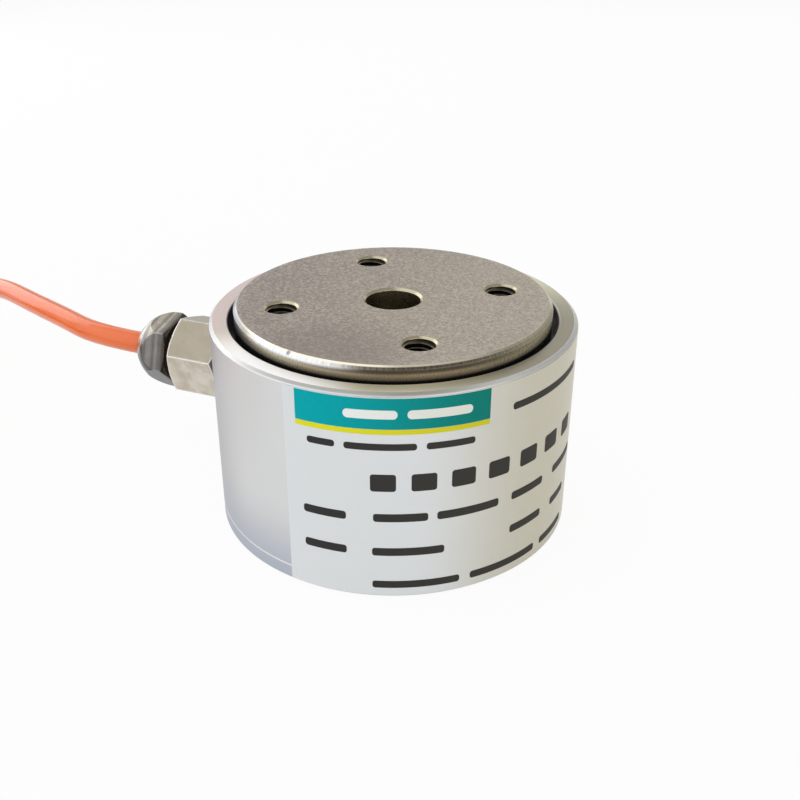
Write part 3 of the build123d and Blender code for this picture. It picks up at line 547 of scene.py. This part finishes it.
finishes = {
    "housing_steel": housing_steel(),
    "platform_steel": platform_steel(),
    "measuring_steel": plain_steel("measuring_steel", (0.50, 0.50, 0.49), (0.62, 0.62, 0.61), 0.30),
    "fastener_steel": plain_steel("fastener_steel", (0.42, 0.41, 0.40), (0.56, 0.55, 0.54), 0.28),
    "gland_plating": gland_plating(),
    "claw_plastic": moulded("claw_plastic", (0.74, 0.73, 0.70), (0.82, 0.81, 0.78), 0.45),
    "black_rubber": moulded("black_rubber", (0.014, 0.013, 0.012), (0.03, 0.028, 0.026), 0.62, 0.01),
    "label_film": label_film(),
    "board_laminate": moulded("board_laminate", (0.02, 0.14, 0.05), (0.03, 0.20, 0.08), 0.35),
    "gauge_film": moulded("gauge_film", (0.50, 0.26, 0.06), (0.60, 0.33, 0.09), 0.30, 0.002),
    "resistor_body": moulded("resistor_body", (0.02, 0.02, 0.02), (0.05, 0.05, 0.05), 0.40, 0.002),
    "gauge_wire_enamel": moulded("gauge_wire_enamel", (0.34, 0.05, 0.02), (0.46, 0.09, 0.03), 0.25, 0.001),
    "lead_sheath": lead_sheath(),
    "shrink_sleeve": moulded("shrink_sleeve", (0.010, 0.010, 0.010), (0.022, 0.022, 0.022), 0.42, 0.012),
    "tinned_copper": plain_steel("tinned_copper", (0.58, 0.57, 0.55), (0.74, 0.73, 0.70), 0.24),
    "core_red": moulded("core_red", (0.52, 0.02, 0.015), (0.62, 0.035, 0.02), 0.36, 0.002),
    "core_black": moulded("core_black", (0.012, 0.012, 0.012), (0.025, 0.025, 0.025), 0.36, 0.002),
    "core_green": moulded("core_green", (0.02, 0.24, 0.05), (0.035, 0.32, 0.07), 0.36, 0.002),
    "core_white": moulded("core_white", (0.72, 0.71, 0.68), (0.82, 0.81, 0.78), 0.36, 0.002),
    "core_screen": plain_steel("core_screen", (0.52, 0.50, 0.47), (0.66, 0.64, 0.60), 0.34),
}


# Making pieces


def piece(name, data, finish):
    """Puts a mesh or curve on the part with its finish."""
    made = bpy.data.objects.new(name, data)
    bpy.context.scene.collection.objects.link(made)
    data.materials.append(finish)
    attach(made, "root")
    return made


def mesh_of(name, points, faces, smooth=True):
    """A mesh from points in millimetres."""
    mesh = bpy.data.meshes.new(name)
    mesh.from_pydata([Vector(point) * mm for point in points], [], faces)
    for polygon in mesh.polygons:
        polygon.use_smooth = smooth
    mesh.update()
    return mesh


def aim(thing, place, way):
    """Puts a camera or lamp at a place, looking this way, its top side up."""
    thing.location = Vector(place) * mm
    thing.rotation_euler = Vector(way).to_track_quat("-Z", "Y").to_euler()
    bpy.context.scene.collection.objects.link(thing)


def make_camera():
    """The camera of the photograph."""
    data = bpy.data.cameras.new("camera")
    data.sensor_width = 36
    data.lens = camera_lens
    data.shift_x, data.shift_y = camera_shift
    data.clip_start = 0.005
    camera = bpy.data.objects.new("camera", data)
    aim(camera, camera_place, camera_way)
    bpy.context.scene.camera = camera


def coil_slots():
    """Radius and height of each turn of the coil, in the order in which it was wound."""
    radii = [coil_mean_r + (column - (coil_columns - 1) / 2) * 2 * lead_r for column in range(coil_columns)]
    slots = []
    for layer in range(coil_layers):
        inward = layer % 2 == 0
        height = lead_r + 2 * lead_r * layer
        slots += [(radius, height) for radius in (reversed(radii) if inward else radii)]
    return slots


def coil_points():
    """Control points of the coil's turns: each turn shifts to the next over a short stretch."""
    slots = coil_slots()
    last = coil_out_angle + 360 * (len(slots) - 1)
    # A smooth curve runs inside its control points, so dividing by this puts them further out
    pull = 0.75 + 0.25 * cos(radians(2 * coil_step_angle))
    points = []
    for angle in range(coil_in_angle, last + 1, coil_step_angle):
        past = angle - coil_shift_start
        turn = max(0, min(len(slots) - 1, past // 360 + 1))
        share = 1.0
        if turn > 0:
            share = min(1.0, (past - 360 * (turn - 1)) / coil_shift_angle)
        before = slots[max(0, turn - 1)] if share < 1 else slots[turn]
        after = slots[turn]
        ease = share * share * (3 - 2 * share)
        radius = before[0] + (after[0] - before[0]) * ease
        height = before[1] + (after[1] - before[1]) * ease
        if before[1] != after[1]:
            outward = 1 if before[0] > coil_mean_r else -1
            radius += outward * coil_rise_bulge * sin(pi * share)
        radius /= pull
        place = radians(angle)
        points.append((coil_centre[0] + radius * cos(place), coil_centre[1] + radius * sin(place), height))
    return points


def make_lead():
    """The whole lead on one smooth line, from the gland to its cut end."""
    data = bpy.data.curves.new("lead_run", "CURVE")
    data.dimensions = "3D"
    data.bevel_depth = lead_r * mm
    data.bevel_resolution = 5
    data.resolution_u = 5
    data.use_fill_caps = True
    route = lead_points + coil_points() + tail_points
    spline = data.splines.new("NURBS")
    spline.points.add(len(route) - 1)
    for point, place in zip(spline.points, route):
        point.co = (*(Vector(place) * mm), 1)
    spline.order_u = 3
    spline.use_endpoint_u = True
    lead = piece("lead_run", data, finishes["lead_sheath"])
    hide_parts("lead", "lead_coil", "lead_tail")
    end_names = ["lead_end_sleeve", "tinned_tips"]
    end_names += sorted(name for name in frame["nodes"] if name.startswith("end_core_"))


def dress_frame():
    """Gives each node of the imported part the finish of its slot."""
    for part in frame["record"]["subparts"]:
        shape = frame["nodes"][part["node"]].data
        shape.materials.clear()
        shape.materials.append(finishes[part["material_slot"]])


def thread_ridge(x, y, mouth, depth, up):
    """One helical ridge in a tapped hole, as points and faces. up is 1 if the hole opens upwards."""
    steps = 32
    fade_steps = 0.6 * steps
    root_r = thread_major_r + thread_sunk
    section = [
        (root_r, -thread_root_half),
        (root_r, thread_root_half),
        (thread_minor_r, thread_crest_half),
        (thread_minor_r, -thread_crest_half),
    ]
    count = ceil((depth - thread_mouth) / thread_pitch * steps)
    points = []
    for step in range(count + 1):
        turn = 2 * pi * step / steps
        down = thread_mouth + thread_pitch * step / steps
        share = min(1.0, step / fade_steps, (count - step) / fade_steps)
        for radius, rise in section:
            reach = root_r + (radius - root_r) * share
            height = mouth - up * (down + rise * share)
            points.append((x + reach * cos(turn), y - up * reach * sin(turn), height))
    faces = []
    corners = len(section)
    for step in range(count):
        for corner in range(corners):
            a = step * corners + corner
            b = step * corners + (corner + 1) % corners
            faces.append((a, b, b + corners, a + corners))
    faces.append(tuple(reversed(range(corners))))
    faces.append(tuple(count * corners + corner for corner in range(corners)))
    if up > 0:
        faces = [tuple(reversed(face)) for face in faces]
    return points, faces


def make_threads(name, mouth, depth, up, slot):
    """The ridges of the tapped holes on one side of the part."""
    points = []
    faces = []
    for hole in range(mount_holes):
        turn = radians(mount_angle + 360 / mount_holes * hole)
        ring, sides = thread_ridge(mount_circle_r * cos(turn), mount_circle_r * sin(turn), mouth, depth, up)
        faces += [tuple(index + len(points) for index in face) for face in sides]
        points += ring
    piece(name, mesh_of(name, points, faces), finishes[slot])


def mark_stations(start, end, corner):
    """Places along a mark, close together where its ends are rounded."""
    steps = 8
    rounds = [corner * (1 - cos(radians(90 * step / steps))) for step in range(steps + 1)]
    columns = max(2, ceil((end - start) / print_step))
    straight = [start + corner + (end - start - 2 * corner) * c / columns for c in range(columns + 1)]
    places = straight + [start + reach for reach in rounds] + [end - reach for reach in rounds]
    return sorted({round(place, 4) for place in places})


def make_print(name, rows, corner, finish, lift):
    """Rows of thin marks wrapped on the label, with this corner radius."""
    marks = [(start, end, low, high) for low, high, spans in rows for start, end in spans]
    points = []
    faces = []
    for start, end, low, high in marks:
        stations = mark_stations(start, end, corner)
        first = len(points)
        for station in stations:
            reach = min(corner, station - start, end - station)
            fall = corner - max(0.0, corner * corner - (corner - reach) ** 2) ** 0.5
            turn = radians(label_left) + station / label_r
            for radius in (label_r, label_r + lift):
                for height in (low + fall, high - fall):
                    points.append((radius * cos(turn), radius * sin(turn), height))
        for column in range(len(stations) - 1):
            a = first + 4 * column
            b = a + 4
            faces += [(a + 2, b + 2, b + 3, a + 3), (a + 1, b + 1, b, a)]
            faces += [(a, b, b + 2, a + 2), (a + 3, b + 3, b + 1, a + 1)]
        last = first + 4 * (len(stations) - 1)
        faces += [(first, first + 2, first + 3, first + 1), (last + 1, last + 3, last + 2, last)]
    piece(name, mesh_of(name, points, faces, smooth=False), finish)


def make_label_print():
    """A colour band with a rule under it, and rows of plain bars where a maker would print."""
    teal = printed("print_teal", (0.0, 0.37, 0.42), (0.005, 0.20, 0.17))
    yellow = printed("print_yellow", (0.74, 0.72, 0.02), (0.62, 0.58, 0.03))
    black = printed("print_black", (0.035, 0.035, 0.035), (0.045, 0.043, 0.038), 0.02)
    white = printed("print_white", (0.84, 0.88, 0.88), (0.74, 0.76, 0.70))
    make_print("label_band", band_rows, band_corner, teal, print_t)
    make_print("label_rule", rule_rows, band_corner, yellow, print_t)
    make_print("label_band_marks", band_mark_rows, band_mark_corner, white, 2 * print_t)
    make_print("label_rows", bar_rows, bar_corner, black, print_t)


def pale_floor():
    """A pale floor that the camera, gloss and glass see almost white."""
    floor = Finish("pale_floor")
    floor.paint((0.80, 0.80, 0.80, 1), 0.9)
    whiteness = 0.93
    shine = floor.node("ShaderNodeEmission", sockets={"Color": (1, 1, 1, 1)})
    seen = floor.seen_by("Is Camera Ray", "Is Glossy Ray", "Is Transmission Ray") * whiteness
    matt = Signal(floor, floor.shader.outputs[0])
    blend = floor.node("ShaderNodeMixShader", sockets={0: seen, 1: matt, 2: shine})
    floor.feed(floor.tree.nodes["Material Output"].inputs["Surface"], blend)
    return floor.material


def make_world():
    """A world that lights the part as a grey room does, and that the camera sees white."""
    bpy.context.scene.world = bpy.data.worlds.new("studio")
    world = Nodes(bpy.context.scene.world)
    room = world.node("ShaderNodeBackground", sockets={"Color": (0.66, 0.65, 0.64, 1), "Strength": 0.72})
    white = world.node("ShaderNodeBackground", sockets={"Color": (1, 1, 1, 1), "Strength": 1.0})
    seen = world.seen_by("Is Camera Ray")
    blend = world.node("ShaderNodeMixShader", sockets={0: seen, 1: room, 2: white})
    world.feed(world.tree.nodes["World Output"].inputs["Surface"], blend)


def make_stage():
    """A pale floor, and soft square lamps that look at the middle of the can."""
    half = 1500
    corners = [(-half, -half, 0), (half, -half, 0), (half, half, 0), (-half, half, 0)]
    floor = bpy.data.objects.new("floor", mesh_of("floor", corners, [(0, 1, 2, 3)], smooth=False))
    floor.data.materials.append(pale_floor())
    bpy.context.scene.collection.objects.link(floor)

    middle = Vector((0, 0, 20))
    # Place, side length, power in watts and colour of each lamp
    lamps = {
        "window": ((-330, -420, 420), 1000, 2.9, (0.97, 0.98, 1.0)),
        "fill": ((520, -260, 260), 620, 1.3, (1.0, 0.95, 0.86)),
        "side": ((-620, 190, 230), 520, 1.5, (0.98, 0.98, 1.0)),
        "back": ((-120, 520, 420), 700, 1.02, (1.0, 0.985, 0.96)),
    }
    for name, (place, size, power, colour) in lamps.items():
        data = bpy.data.lights.new(name, "AREA")
        data.size = size * mm
        data.energy = power
        data.color = colour
        aim(bpy.data.objects.new(name, data), place, middle - Vector(place))


make_camera()
make_lead()
dress_frame()
make_threads("platform_threads", platform_top, platform_thread_depth, 1, "platform_steel")
make_threads("base_threads", 0.0, base_thread_depth, -1, "housing_steel")
make_label_print()
make_world()
make_stage()
bpy.context.scene.view_settings.view_transform = "Standard"
